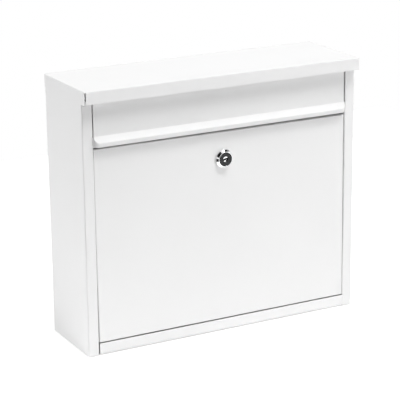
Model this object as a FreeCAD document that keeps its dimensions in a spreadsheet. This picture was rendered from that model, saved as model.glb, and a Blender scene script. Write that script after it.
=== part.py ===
import FreeCAD, Part
import math
import os
import Sketcher

# Wall mailbox folded from white powder-coated sheet steel: a shell with stiles, a roof, a floor pan, a
# letter flap on a rod, a drop-down door on two rivets and a quarter-turn cam lock.
# Millimetres. X runs along the box, Y towards the wall and Z up. The origin is on the ground, below the
# middle of the box. Pieces of the box are drawn with Y = 0 on the front of the stiles and then set back
# by one placement. Pieces of the lock are drawn round their own Z axis, which points out of the door.

doc = FreeCAD.newDocument("wall_mailbox")

# Driving dimensions, one cell each: name, value, what it measures.
DRIVING = [
    ("body_width", 360, "across the outside of the side walls"),
    ("body_depth", 101.8, "from the wall to the front of the stiles"),
    ("gauge", 0.8, "thickness of the sheet"),
    ("fold_radius", 0.8, "inside radius of the folds"),
    ("wall_fold_radius", 0.8, "inside radius of the folds along the walls"),
    ("stile_width", 13.2, "front face of a stile"),
    ("frame_depth", 16, "how far stile returns, rail and door pan reach back"),
    ("wall_hole_diameter", 7, "holes in the back for wall screws"),
    ("wall_hole_pitch_x", 270, "wall holes, across"),
    ("wall_hole_pitch_z", 200, "wall holes, up"),
    ("roof_overhang", 10.7, "roof in front of the stiles"),
    ("roof_front_drop", 14.8, "height of the roof's front flange"),
    ("roof_side_drop", 15.5, "height of the roof's side flanges"),
    ("roof_seam", 1.6, "open seam at the roof's front corners"),
    ("plinth_height", 14.3, "top edge of the floor pan's front lip"),
    ("plinth_lift", 0.8, "floor pan above the lower edge of the walls"),
    ("plinth_gap", 1.2, "slit between the front lip and a stile"),
    ("pan_flange", 12, "height of the floor pan's other flanges"),
    ("pan_relief", 3, "notch left free at the floor pan's corners"),
    ("door_height", 231.7, "front of the door"),
    ("door_gap_side", 1, "slit between door and stile"),
    ("door_gap_low", 1.1, "slit under the door"),
    ("door_gap_top", 1.6, "slit over the door"),
    ("hinge_setback", 10, "door rivets behind the front"),
    ("hinge_rise", 9, "door rivets above the door's lower edge"),
    ("rivet_diameter", 4, "shank of a door rivet"),
    ("rivet_head_diameter", 8, "heads of a door rivet"),
    ("rivet_head_height", 1.4, "heads of a door rivet"),
    ("rivet_head_round", 0.8, "sloping edge of a rivet head"),
    ("rivet_play", 0.3, "free room between rivet head and door"),
    ("running_clearance", 0.05, "radial clearance of a turning fit"),
    ("rail_height", 13, "front web of the cross rail"),
    ("rail_sill", 10, "cross rail's top flange"),
    ("rail_lip", 8, "cross rail's rear lip, which the cam catches"),
    ("slot_height", 40.2, "letter slot between cross rail and roof flange"),
    ("flap_gap", 1.4, "slit between flap and stile"),
    ("flap_stand", 0.3, "front of the flap before the front of the stiles"),
    ("ledge_lift", 0.4, "upper fold of the flap's ledge above the cross rail"),
    ("ledge_reach", 6.7, "pull lip in front of the flap"),
    ("lip_height", 4.5, "pull lip under the ledge"),
    ("lip_corner_radius", 5, "rounded lower corners of the pull lip"),
    ("flap_axis_drop", 12, "flap rod under the top of the roof"),
    ("flap_axis_setback", 5.5, "flap rod behind the front of the stiles"),
    ("rod_diameter", 3, "flap rod"),
    ("rod_end_play", 0.3, "between an end of the rod and the side wall"),
    ("lock_drop", 33.1, "lock's axis under the top of the door"),
    ("barrel_diameter", 18, "lock's threaded barrel"),
    ("barrel_flat_width", 16, "across the two flats of the barrel"),
    ("lock_hole_clearance", 0.2, "lock hole in the door, larger than the barrel"),
    ("bezel_diameter", 22.5, "lock's collar on the door"),
    ("bezel_height", 4.2, "lock's collar in front of the door"),
    ("bezel_rim", 0.9, "upright edge of the collar"),
    ("bezel_face_diameter", 17.8, "front face of the collar"),
    ("bezel_shoulder_height", 2.6, "collar's shoulder in front of the door"),
    ("bezel_shoulder_setback", 0.7, "collar's shoulder inside its rim"),
    ("plug_head_diameter", 16.8, "head of the plug"),
    ("plug_head_height", 2.2, "head of the plug"),
    ("plug_recess", 0.25, "plug's face behind the collar's face"),
    ("plug_diameter", 10.5, "plug in the barrel"),
    ("dish_diameter", 6.4, "dish round the key slot"),
    ("dish_floor_diameter", 3.2, "dish round the key slot"),
    ("dish_depth", 0.9, "dish round the key slot"),
    ("key_slot_length", 7, "key slot"),
    ("key_slot_width", 2, "key slot"),
    ("key_slot_depth", 9, "key slot"),
    ("key_slot_tilt", 12, "key slot from level, degrees"),
    ("tail_width", 7, "square tail of the plug"),
    ("nut_width", 22, "lock nut across its flats"),
    ("nut_height", 4, "lock nut"),
    ("stop_gauge", 1.2, "stop washer"),
    ("stop_diameter", 17.6, "stop washer"),
    ("stop_track_diameter", 12.6, "inside of the track that the stop lug runs in"),
    ("stop_track_play", 0.2, "between the stop lug and the inside of its track"),
    ("stop_lug_angle", 24, "stop lug on the barrel, degrees"),
    ("stop_turn", 90, "turn that the stop allows, degrees"),
    ("stop_margin", 2, "free turn left at each end, degrees"),
    ("cam_gauge", 2, "cam"),
    ("cam_hub_diameter", 18, "round end of the cam on the plug"),
    ("cam_tip_diameter", 13, "round tip of the cam"),
    ("cam_catch", 8.6, "how far the cam reaches above the cross rail's lower edge"),
    ("cam_fit", 0.1, "square holes larger than the tail"),
    ("screw_diameter", 5, "cam screw"),
    ("screw_length", 9, "cam screw under its head"),
    ("screw_head_width", 8, "cam screw's hexagon across its flats"),
    ("screw_head_height", 3.5, "cam screw's head"),
    ("spring_washer_diameter", 9.2, "washer under the cam screw"),
    ("spring_washer_gauge", 1.2, "washer under the cam screw"),
]

sizes = doc.addObject("Spreadsheet::Sheet", "Sizes")
for row, (name, number, note) in enumerate(DRIVING, 1):
    sizes.set(f"A{row}", name)
    sizes.set(f"B{row}", str(number))
    sizes.setAlias(f"B{row}", name)
    sizes.set(f"C{row}", note)
doc.recompute()

# Places worked out from the driving dimensions, as expressions.
half_width = "(Sizes.body_width / 2)"
half_opening = f"({half_width} - Sizes.stile_width)"
half_door = f"({half_opening} - Sizes.door_gap_side)"
half_flap = f"({half_opening} - Sizes.flap_gap)"
outer_fold = "(Sizes.fold_radius + Sizes.gauge)"
door_bottom = "(Sizes.plinth_height + Sizes.door_gap_low)"
door_top = f"({door_bottom} + Sizes.door_height)"
rail_bottom = f"({door_top} + Sizes.door_gap_top)"
rail_top = f"({rail_bottom} + Sizes.rail_height)"
roof_top = f"({rail_top} + Sizes.slot_height + Sizes.roof_front_drop)"
wall_top = f"({roof_top} - Sizes.roof_side_drop)"
wall_fold = "(Sizes.wall_fold_radius + Sizes.gauge)"
hinge_height = f"({door_bottom} + Sizes.hinge_rise)"
flap_axis_height = f"({roof_top} - Sizes.flap_axis_drop)"
lock_height = f"({door_top} - Sizes.lock_drop)"
front_y = "((Sizes.roof_overhang - Sizes.body_depth) / 2)"
barrel_length = "Sizes.frame_depth"
PAST = "2"  # how far a cut runs past the faces that it opens


def set_place(piece, x="0", y="0", z="0"):
    """Tie a piece's place to the sheet."""
    for axis, place in zip("xyz", (x, y, z)):
        piece.setExpression(f"Placement.Base.{axis}", place)


def new_body(label, turn=None):
    """Start a sub-part, turned by a rotation where it isn't drawn upright."""
    body = doc.addObject("PartDesign::Body", label)
    body.Label = label
    if turn is not None:
        body.Placement = FreeCAD.Placement(FreeCAD.Vector(), turn)
    return body


def new_sketch(body, role, offset="0"):
    """Attach a sketch to one of the body's own planes, moved along its normal."""
    plane = [feature for feature in body.Origin.OriginFeatures if feature.Role == role][0]
    sketch = body.newObject("Sketcher::SketchObject", f"{body.Name}_sketch")
    sketch.AttachmentSupport = (plane, [""])
    sketch.MapMode = "FlatFace"
    sketch.setExpression("AttachmentOffset.Base.z", offset)
    return sketch


def number_of(sketch, expression):
    return float(sketch.evalExpression(expression))


def dimension(sketch, kind, places, expression):
    """Add a constraint whose value follows the sheet. Angles are in degrees."""
    number = number_of(sketch, expression)
    if kind == "Angle":
        number = math.radians(number)
        expression = f"({expression}) * 1 deg"
    index = sketch.addConstraint(Sketcher.Constraint(kind, *places, number))
    sketch.setExpression(f"Constraints[{index}]", expression)


def draw_polygon(sketch, corners):
    """Closed outline of straight lines through corners given as expressions."""
    points = [FreeCAD.Vector(number_of(sketch, x), number_of(sketch, y), 0) for x, y in corners]
    lines = []
    for start, end in zip(points, points[1:] + points[:1]):
        lines.append(sketch.addGeometry(Part.LineSegment(start, end)))
    for line, following in zip(lines, lines[1:] + lines[:1]):
        sketch.addConstraint(Sketcher.Constraint("Coincident", line, 2, following, 1))
    for line, (x, y) in zip(lines, corners):
        dimension(sketch, "DistanceX", (-1, 1, line, 1), x)
        dimension(sketch, "DistanceY", (-1, 1, line, 1), y)
    return lines


def draw_rectangle(sketch, left, right, low, high):
    return draw_polygon(sketch, [(left, low), (right, low), (right, high), (left, high)])


def draw_hexagon(sketch, across_flats):
    """Hexagon round the sketch's origin, with two corners on its X axis."""
    corner = f"({across_flats} / sqrt(3))"
    corners = []
    for along, up in ((1, 0), (0.5, 1), (-0.5, 1), (-1, 0), (-0.5, -1), (0.5, -1)):
        corners.append((f"{corner} * {along}", f"{across_flats} / 2 * {up}"))
    return draw_polygon(sketch, corners)


def draw_circle(sketch, x, y, diameter):
    middle = FreeCAD.Vector(number_of(sketch, x), number_of(sketch, y), 0)
    radius = number_of(sketch, diameter) / 2
    circle = sketch.addGeometry(Part.Circle(middle, FreeCAD.Vector(0, 0, 1), radius))
    dimension(sketch, "Diameter", (circle,), diameter)
    dimension(sketch, "DistanceX", (-1, 1, circle, 3), x)
    dimension(sketch, "DistanceY", (-1, 1, circle, 3), y)
    return circle


def draw_arc(sketch, middle, radius, first, last):
    """Counter-clockwise arc between two angles in radians. Its ends are its points 1 and 2."""
    circle = Part.Circle(middle, FreeCAD.Vector(0, 0, 1), radius)
    return sketch.addGeometry(Part.ArcOfCircle(circle, first, last))


def draw_ring_sector(sketch, inner, outer, first, last):
    """Piece of a ring round the sketch's origin, from one angle to another."""
    radii = [number_of(sketch, inner) / 2, number_of(sketch, outer) / 2]
    angles = [math.radians(number_of(sketch, first)), math.radians(number_of(sketch, last))]
    arcs = [draw_arc(sketch, FreeCAD.Vector(), radius, *angles) for radius in radii]
    for arc, diameter in zip(arcs, (inner, outer)):
        sketch.addConstraint(Sketcher.Constraint("Coincident", arc, 3, -1, 1))
        dimension(sketch, "Diameter", (arc,), diameter)
    for end, (angle, expression) in enumerate(zip(angles, (first, last)), 1):
        ray = FreeCAD.Vector(math.cos(angle), math.sin(angle), 0)
        line = sketch.addGeometry(Part.LineSegment(ray * radii[0], ray * radii[1]))
        sketch.addConstraint(Sketcher.Constraint("Coincident", line, 1, arcs[0], end))
        sketch.addConstraint(Sketcher.Constraint("Coincident", line, 2, arcs[1], end))
        dimension(sketch, "Angle", (line,), expression)


def draw_folded_sheet(sketch, start, heading, runs, turns, radii):
    """Closed section of a sheet that is folded along its length.

    The sheet starts at a point of its left face and runs along a heading in degrees. Each run is a
    length of the left face between sharp corners. Each turn is in degrees, to the left where it is
    positive, with an inside radius. A turn past a half circle is a curl, and it ends the sheet.
    """
    gauge = number_of(sketch, "Sizes.gauge")
    point = FreeCAD.Vector(number_of(sketch, start[0]), number_of(sketch, start[1]), 0)
    trims = []
    for turn, radius in zip(turns, radii):
        left_radius = radius if turn > 0 else f"({radius} + Sizes.gauge)"
        trims.append(f"{left_radius} * tan({abs(turn) / 2})" if abs(turn) < 180 else "0")
    chains = ([], [])
    lines = []
    for index, run in enumerate(runs):
        length = run
        for trim in trims[max(index - 1, 0):index + 1]:
            length = f"{length} - {trim}"
        ahead = FreeCAD.Vector(math.cos(math.radians(heading)), math.sin(math.radians(heading)), 0)
        right = FreeCAD.Vector(ahead.y, -ahead.x, 0) * gauge
        step = ahead * number_of(sketch, length)
        left_line = sketch.addGeometry(Part.LineSegment(point, point + step))
        right_line = sketch.addGeometry(Part.LineSegment(point + right, point + right + step))
        chains[0].append((left_line, 1, 2))
        chains[1].append((right_line, 1, 2))
        lines.append((left_line, right_line))
        dimension(sketch, "Distance", (left_line,), length)
        dimension(sketch, "Angle", (left_line,), str(heading))
        sketch.addConstraint(Sketcher.Constraint("Parallel", left_line, right_line))
        point = point + step
        if index == len(turns):
            break
        inner_radius = number_of(sketch, radii[index])
        turn = turns[index]
        inward = right * (-1 / gauge) if turn > 0 else right * (1 / gauge)
        middle = point + inward * inner_radius if turn > 0 else point + right + inward * inner_radius
        first = math.atan2(-inward.y, -inward.x)
        arcs = []
        for side in (0, 1):
            inner = (side == 0) == (turn > 0)
            radius = inner_radius if inner else inner_radius + gauge
            ends = (first, first + math.radians(turn))
            arc = draw_arc(sketch, middle, radius, min(ends), max(ends))
            entry, leave = (1, 2) if turn > 0 else (2, 1)
            chains[side].append((arc, entry, leave))
            arcs.append(arc)
            if inner:
                dimension(sketch, "Radius", (arc,), radii[index])
        sketch.addConstraint(Sketcher.Constraint("Coincident", arcs[0], 3, arcs[1], 3))
        turned = FreeCAD.Rotation(FreeCAD.Vector(0, 0, 1), turn)
        point = middle + turned.multVec(point - middle)
        heading = heading + turn
    for chain in chains:
        for before, after in zip(chain, chain[1:]):
            joint = Sketcher.Constraint("Tangent", before[0], before[2], after[0], after[1])
            sketch.addConstraint(joint)
    cap_points = []
    for chain in chains:
        cap_points.append((sketch.getPoint(chain[0][0], chain[0][1]), chain[0][0], chain[0][1]))
        cap_points.append((sketch.getPoint(chain[-1][0], chain[-1][2]), chain[-1][0], chain[-1][2]))
    caps = []
    for left_end, right_end in ((cap_points[0], cap_points[2]), (cap_points[1], cap_points[3])):
        cap = sketch.addGeometry(Part.LineSegment(left_end[0], right_end[0]))
        sketch.addConstraint(Sketcher.Constraint("Coincident", cap, 1, left_end[1], left_end[2]))
        sketch.addConstraint(Sketcher.Constraint("Coincident", cap, 2, right_end[1], right_end[2]))
        caps.append(cap)
    dimension(sketch, "Distance", (caps[0],), "Sizes.gauge")
    sketch.addConstraint(Sketcher.Constraint("Perpendicular", caps[0], lines[0][0]))
    if len(runs) > len(turns):
        sketch.addConstraint(Sketcher.Constraint("Perpendicular", caps[1], lines[-1][0]))
    else:
        dimension(sketch, "Angle", (caps[1],), str((heading - 90) % 360))
        sketch.addConstraint(Sketcher.Constraint("PointOnObject", arcs[0], 3, caps[1]))
    dimension(sketch, "DistanceX", (-1, 1, lines[0][0], 1), start[0])
    dimension(sketch, "DistanceY", (-1, 1, lines[0][0], 1), start[1])


def extrude(kind, sketch, length, both_ways=False, backwards=False):
    """Pad or Pocket of a sketch. A pocket cuts against the sketch's normal unless it runs backwards."""
    body = sketch.getParentGeoFeatureGroup()
    feature = body.newObject(f"PartDesign::{kind}", f"{body.Name}_{kind.lower()}")
    feature.Profile = sketch
    feature.setExpression("Length", length)
    if both_ways:
        feature.SideType = "Symmetric"
    feature.Reversed = backwards
    before = volume_before(feature)
    doc.recompute()
    changed = feature.Shape.Volume - before
    if (kind == "Pad") != (changed > 0):
        raise ValueError(f"{feature.Name} leaves its body as it was")
    return feature


def volume_before(feature):
    base = feature.BaseFeature
    return base.Shape.Volume if base is not None else 0.0


def revolve(sketch, axis):
    """Full turn of a sketch about one of its own axes."""
    body = sketch.getParentGeoFeatureGroup()
    feature = body.newObject("PartDesign::Revolution", f"{body.Name}_revolution")
    feature.Profile = sketch
    feature.ReferenceAxis = (sketch, [axis])
    feature.Angle = 360
    doc.recompute()
    return feature


def names_where(kind, shape, test):
    """Names of the shape's edges or faces whose bounding box passes a test."""
    members = shape.Edges if kind == "Edge" else shape.Faces
    return [f"{kind}{index}" for index, member in enumerate(members, 1) if test(member.BoundBox)]


def at(place, *bounds):
    """True where every bound lies at a place."""
    return all(abs(bound - place) < 1e-4 for bound in bounds)


def round_edges(base, radius, test):
    body = base.getParentGeoFeatureGroup()
    feature = body.newObject("PartDesign::Fillet", f"{body.Name}_fillet")
    feature.Base = (base, names_where("Edge", base.Shape, test))
    feature.setExpression("Radius", radius)
    doc.recompute()
    return feature


def hollow_out(base, test):
    """Leave a skin one gauge thick inside the block, open at the faces that pass a test."""
    body = base.getParentGeoFeatureGroup()
    feature = body.newObject("PartDesign::Thickness", f"{body.Name}_thickness")
    feature.Base = (base, names_where("Face", base.Shape, test))
    feature.setExpression("Value", "Sizes.gauge")
    feature.Reversed = True
    feature.Join = "Arc"
    doc.recompute()
    return feature


def make_body_shell():
    """Back, side walls and stiles, folded from one sheet, with wall holes and hinge holes.

    Back and stiles reach the roof; the walls end under its side flanges, flush with them.
    """
    body = new_body("body_shell")
    plan = new_sketch(body, "XY_Plane")
    start = (f"-{half_opening}", "Sizes.frame_depth")
    runs = ["Sizes.frame_depth", "Sizes.stile_width", "Sizes.body_depth", "Sizes.body_width"]
    radii = ["Sizes.fold_radius"] + ["Sizes.wall_fold_radius"] * 4 + ["Sizes.fold_radius"]
    draw_folded_sheet(plan, start, 270, runs + runs[2::-1], [-90] * 6, radii)
    extrude("Pad", plan, f"{roof_top} - Sizes.gauge")
    wall_tops = new_sketch(body, "XZ_Plane", PAST)
    inside = f"({half_width} - {wall_fold})"
    outside = f"({half_width} + {PAST})"
    draw_rectangle(wall_tops, inside, outside, wall_top, roof_top)
    draw_rectangle(wall_tops, f"-{outside}", f"-{inside}", wall_top, roof_top)
    extrude("Pocket", wall_tops, f"Sizes.body_depth + 2 * {PAST}")
    wall_holes = new_sketch(body, "XZ_Plane", f"-Sizes.body_depth + Sizes.gauge + {PAST}")
    for across in (-1, 1):
        for up in (-1, 1):
            x = f"Sizes.wall_hole_pitch_x / 2 * {across}"
            z = f"{roof_top} / 2 + Sizes.wall_hole_pitch_z / 2 * {up}"
            draw_circle(wall_holes, x, z, "Sizes.wall_hole_diameter")
    extrude("Pocket", wall_holes, f"Sizes.gauge + 2 * {PAST}")
    hinge_holes = new_sketch(body, "YZ_Plane")
    draw_circle(hinge_holes, "Sizes.hinge_setback", hinge_height, "Sizes.rivet_diameter")
    draw_circle(hinge_holes, "Sizes.flap_axis_setback", flap_axis_height, "Sizes.rod_diameter")
    extrude("Pocket", hinge_holes, f"2 * ({half_opening} + Sizes.gauge + {PAST})", both_ways=True)
    set_place(body, y=front_y)
    return body


def make_roof():
    """Flat folded roof with a front flange, two side flanges and open seams at the front corners."""
    body = new_body("roof")
    half = half_width
    low = wall_top
    plan = new_sketch(body, "XY_Plane", low)
    draw_rectangle(plan, f"-{half}", half, "-Sizes.roof_overhang", "Sizes.body_depth")
    block = extrude("Pad", plan, "Sizes.roof_side_drop")
    top = number_of(plan, roof_top)
    back = number_of(plan, "Sizes.body_depth")
    folds = round_edges(block, outer_fold, lambda box: at(top, box.ZMin) and not at(back, box.YMin))
    bottom = number_of(plan, low)
    hollow_out(folds, lambda box: at(bottom, box.ZMax) or at(back, box.YMin))
    seams = new_sketch(body, "XY_Plane", low)
    seam_edge = f"({half} - Sizes.roof_seam)"
    front = f"-Sizes.roof_overhang - {PAST}"
    behind = "-Sizes.roof_overhang + Sizes.roof_seam"
    draw_rectangle(seams, seam_edge, f"{half} + {PAST}", front, behind)
    draw_rectangle(seams, f"-{half} - {PAST}", f"-{seam_edge}", front, behind)
    extrude("Pocket", seams, f"Sizes.roof_side_drop - {outer_fold}", backwards=True)
    hem = new_sketch(body, "XY_Plane", low)
    draw_rectangle(hem, f"-{seam_edge}", seam_edge, front, behind)
    extrude("Pocket", hem, "Sizes.roof_side_drop - Sizes.roof_front_drop", backwards=True)
    set_place(body, y=front_y)
    return body


def make_bottom_pan():
    """Floor with a front lip between the stiles and flanges along the walls."""
    body = new_body("bottom_pan")
    plate = new_sketch(body, "XY_Plane", "Sizes.plinth_lift")
    narrow = f"({half_opening} - Sizes.plinth_gap)"
    wide = f"({half_width} - Sizes.gauge)"
    step = "(Sizes.frame_depth + Sizes.plinth_gap)"
    back = "(Sizes.body_depth - Sizes.gauge)"
    right_side = [(narrow, "0"), (narrow, step), (wide, step), (wide, back)]
    left_side = [(f"-{x}", y) for x, y in reversed(right_side)]
    draw_polygon(plate, right_side + left_side)
    floor = extrude("Pad", plate, "Sizes.gauge")
    wall = number_of(plate, back)
    round_edges(floor, wall_fold, lambda box: at(wall, box.YMin) and box.ZLength > box.XLength)
    lip = new_sketch(body, "XY_Plane", "Sizes.plinth_lift")
    draw_rectangle(lip, f"-{narrow}", narrow, "0", "Sizes.gauge")
    extrude("Pad", lip, "Sizes.plinth_height - Sizes.plinth_lift")
    flanges = new_sketch(body, "XY_Plane", "Sizes.plinth_lift")
    inner = f"({wide} - Sizes.gauge)"
    near = f"{step} + Sizes.pan_relief"
    far = f"{back} - {wall_fold} - Sizes.pan_relief"
    draw_rectangle(flanges, inner, wide, near, far)
    draw_rectangle(flanges, f"-{wide}", f"-{inner}", near, far)
    end = f"({wide} - {wall_fold} - Sizes.pan_relief)"
    draw_rectangle(flanges, f"-{end}", end, f"{back} - Sizes.gauge", back)
    sides = extrude("Pad", flanges, "Sizes.pan_flange")
    low = number_of(plate, "Sizes.plinth_lift")
    outside = round_edges(sides, outer_fold, lambda box: at(low, box.ZMax) and at(0, box.YMax))
    inside = (low + number_of(plate, "Sizes.gauge"), number_of(plate, "Sizes.gauge"))
    round_edges(outside, "Sizes.fold_radius", lambda box: at(inside[0], box.ZMin, box.ZMax)
                and at(inside[1], box.YMin, box.YMax))
    set_place(body, y=front_y)
    return body


def make_slot_rail():
    """Channel between the stiles: sill of the letter slot, front web, and a rear lip for the cam."""
    body = new_body("slot_rail")
    section = new_sketch(body, "YZ_Plane")
    start = ("Sizes.frame_depth", f"{rail_bottom} + Sizes.rail_lip")
    runs = ["Sizes.rail_lip", "Sizes.frame_depth - Sizes.gauge", "Sizes.rail_height", "Sizes.rail_sill"]
    draw_folded_sheet(section, start, 270, runs, [-90] * 3, ["Sizes.fold_radius"] * 3)
    extrude("Pad", section, f"2 * {half_opening}", both_ways=True)
    set_place(body, y=front_y)
    return body


def draw_corner_cut(sketch, sign, side, low, radius):
    """What has to go to round the lower right or lower left corner of a sheet."""
    size = number_of(sketch, radius)
    middle = FreeCAD.Vector(sign * (number_of(sketch, side) - size), number_of(sketch, low) + size, 0)
    past = number_of(sketch, PAST)
    first = 1.5 * math.pi if sign > 0 else math.pi
    arc = draw_arc(sketch, middle, size, first, first + math.pi / 2)
    under, beside = (1, 2) if sign > 0 else (2, 1)
    points = [sketch.getPoint(arc, beside)]
    for step in ((sign * past, 0), (0, -size - past), (-sign * (size + past), 0)):
        points.append(points[-1] + FreeCAD.Vector(*step, 0))
    points.append(sketch.getPoint(arc, under))
    lines = [sketch.addGeometry(Part.LineSegment(*ends)) for ends in zip(points, points[1:])]
    for line, following in zip(lines, lines[1:]):
        sketch.addConstraint(Sketcher.Constraint("Coincident", line, 2, following, 1))
    sketch.addConstraint(Sketcher.Constraint("Coincident", lines[0], 1, arc, beside))
    sketch.addConstraint(Sketcher.Constraint("Coincident", lines[-1], 2, arc, under))
    for line, direction in zip(lines, ("Horizontal", "Vertical", "Horizontal", "Vertical")):
        sketch.addConstraint(Sketcher.Constraint(direction, line))
    sketch.addConstraint(Sketcher.Constraint("Vertical", arc, 3, arc, under))
    sketch.addConstraint(Sketcher.Constraint("Horizontal", arc, 3, arc, beside))
    dimension(sketch, "Radius", (arc,), radius)
    dimension(sketch, "DistanceX", (-1, 1, lines[0], 1), f"{side} * {sign}")
    dimension(sketch, "DistanceY", (-1, 1, lines[0], 1), f"{low} + {radius}")
    dimension(sketch, "DistanceX", (-1, 1, lines[1], 1), f"({side} + {PAST}) * {sign}")
    dimension(sketch, "DistanceY", (-1, 1, lines[2], 1), f"{low} - {PAST}")


def make_flap():
    """Letter flap: pull lip, sloping ledge, flat panel, and a top edge rolled round the rod."""
    body = new_body("flap")
    section = new_sketch(body, "YZ_Plane")
    ledge_turn = 45
    ledge_root = f"({rail_top} + Sizes.ledge_lift)"
    lip_bottom = f"({ledge_root} - Sizes.ledge_reach - Sizes.lip_height)"
    bore = "(Sizes.rod_diameter / 2 + Sizes.running_clearance)"
    panel_top = f"({flap_axis_height} + {bore} + Sizes.gauge)"
    runs = ["Sizes.lip_height", f"Sizes.ledge_reach / sin({ledge_turn})", f"{panel_top} - {ledge_root}",
            "Sizes.flap_axis_setback + Sizes.flap_stand"]
    turns = [-ledge_turn, ledge_turn, -90, -270]
    radii = ["Sizes.fold_radius"] * 3 + [bore]
    start = ("-Sizes.flap_stand - Sizes.ledge_reach", lip_bottom)
    draw_folded_sheet(section, start, 90, runs, turns, radii)
    extrude("Pad", section, f"2 * {half_flap}", both_ways=True)
    corners = new_sketch(body, "XZ_Plane", f"Sizes.flap_stand + Sizes.ledge_reach + {PAST}")
    for sign in (1, -1):
        draw_corner_cut(corners, sign, half_flap, lip_bottom, "Sizes.lip_corner_radius")
    extrude("Pocket", corners, f"Sizes.ledge_reach + 2 * {PAST}")
    set_place(body, y=front_y)
    return body


def make_flap_hinge_rod():
    """Plain rod through the flap's rolled edge and both stile returns."""
    rod = doc.addObject("Part::Cylinder", "flap_hinge_rod")
    rod.Label = "flap_hinge_rod"
    reach = f"({half_width} - Sizes.gauge - Sizes.rod_end_play)"
    rod.setExpression("Radius", "Sizes.rod_diameter / 2")
    rod.setExpression("Height", f"2 * {reach}")
    rod.Placement = FreeCAD.Placement(FreeCAD.Vector(), FreeCAD.Rotation(FreeCAD.Vector(0, 1, 0), 90))
    set_place(rod, f"-{reach}", f"{front_y} + Sizes.flap_axis_setback", flap_axis_height)
    return rod


def draw_barrel_section(sketch, up, clearance):
    """Round with two flats at its sides: the lock's barrel, or the hole for it."""
    radius = number_of(sketch, f"(Sizes.barrel_diameter + {clearance}) / 2")
    flat = number_of(sketch, f"(Sizes.barrel_flat_width + {clearance}) / 2")
    middle = FreeCAD.Vector(0, number_of(sketch, up), 0)
    corner = math.acos(flat / radius)
    arcs = []
    lines = []
    for side in (0, 1):
        arcs.append(draw_arc(sketch, middle, radius, corner + side * math.pi, (side + 1) * math.pi - corner))
    for arc, following in (arcs, arcs[::-1]):
        ends = (sketch.getPoint(arc, 2), sketch.getPoint(following, 1))
        line = sketch.addGeometry(Part.LineSegment(*ends))
        sketch.addConstraint(Sketcher.Constraint("Coincident", line, 1, arc, 2))
        sketch.addConstraint(Sketcher.Constraint("Coincident", line, 2, following, 1))
        sketch.addConstraint(Sketcher.Constraint("Vertical", line))
        lines.append(line)
    sketch.addConstraint(Sketcher.Constraint("Coincident", arcs[0], 3, arcs[1], 3))
    sketch.addConstraint(Sketcher.Constraint("Equal", arcs[0], arcs[1]))
    dimension(sketch, "Diameter", (arcs[0],), f"Sizes.barrel_diameter + {clearance}")
    dimension(sketch, "DistanceX", (-1, 1, arcs[0], 3), "0")
    dimension(sketch, "DistanceY", (-1, 1, arcs[0], 3), up)
    for line, sign in zip(lines, (-1, 1)):
        dimension(sketch, "DistanceX", (-1, 1, line, 1),
                  f"(Sizes.barrel_flat_width + {clearance}) / 2 * {sign}")


def make_door():
    """Flat pan folded back on four sides, with rivet holes and the lock's hole."""
    body = new_body("door")
    plan = new_sketch(body, "XY_Plane", door_bottom)
    draw_rectangle(plan, f"-{half_door}", half_door, "0", "Sizes.frame_depth")
    block = extrude("Pad", plan, "Sizes.door_height")
    folds = round_edges(block, outer_fold, lambda box: at(0, box.YMin, box.YMax))
    back = number_of(plan, "Sizes.frame_depth")
    hollow_out(folds, lambda box: at(back, box.YMin))
    lock_hole = new_sketch(body, "XZ_Plane", PAST)
    draw_barrel_section(lock_hole, lock_height, "Sizes.lock_hole_clearance")
    extrude("Pocket", lock_hole, f"Sizes.gauge + 2 * {PAST}")
    rivet_holes = new_sketch(body, "YZ_Plane")
    bore = "Sizes.rivet_diameter + 2 * Sizes.running_clearance"
    draw_circle(rivet_holes, "Sizes.hinge_setback", hinge_height, bore)
    extrude("Pocket", rivet_holes, f"2 * ({half_door} + {PAST})", both_ways=True)
    set_place(body, y=front_y)
    return body


def make_door_hinge_pin(side, sign):
    """Rivet through a stile return, with its inner head clear of the door's side."""
    turn = FreeCAD.Rotation(FreeCAD.Vector(0, 0, 1), 0 if sign > 0 else 180)
    body = new_body(f"door_hinge_pin_{side}", turn)
    profile = new_sketch(body, "XY_Plane")
    shank = "Sizes.rivet_diameter / 2"
    head = "Sizes.rivet_head_diameter / 2"
    neck = "(-Sizes.door_gap_side - Sizes.gauge - Sizes.rivet_play)"
    inner_end = f"({neck} - Sizes.rivet_head_height)"
    outer_end = "(Sizes.gauge + Sizes.rivet_head_height)"
    slope = "Sizes.rivet_head_round"
    draw_polygon(profile, [
        (inner_end, "0"), (outer_end, "0"), (outer_end, f"{head} - {slope}"), (f"{outer_end} - {slope}", head),
        ("Sizes.gauge", head), ("Sizes.gauge", shank), (neck, shank), (neck, head),
        (f"{inner_end} + {slope}", head), (inner_end, f"{head} - {slope}")])
    revolve(profile, "H_Axis")
    set_place(body, f"{half_opening} * {sign}", f"{front_y} + Sizes.hinge_setback", hinge_height)
    return body


OUT_OF_DOOR = FreeCAD.Rotation(FreeCAD.Vector(1, 0, 0), 90)


def new_lock_body(label):
    """Start a piece of the lock, whose own Z axis points out of the door."""
    body = new_body(label, OUT_OF_DOOR)
    set_place(body, y=front_y, z=lock_height)
    return body


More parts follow.
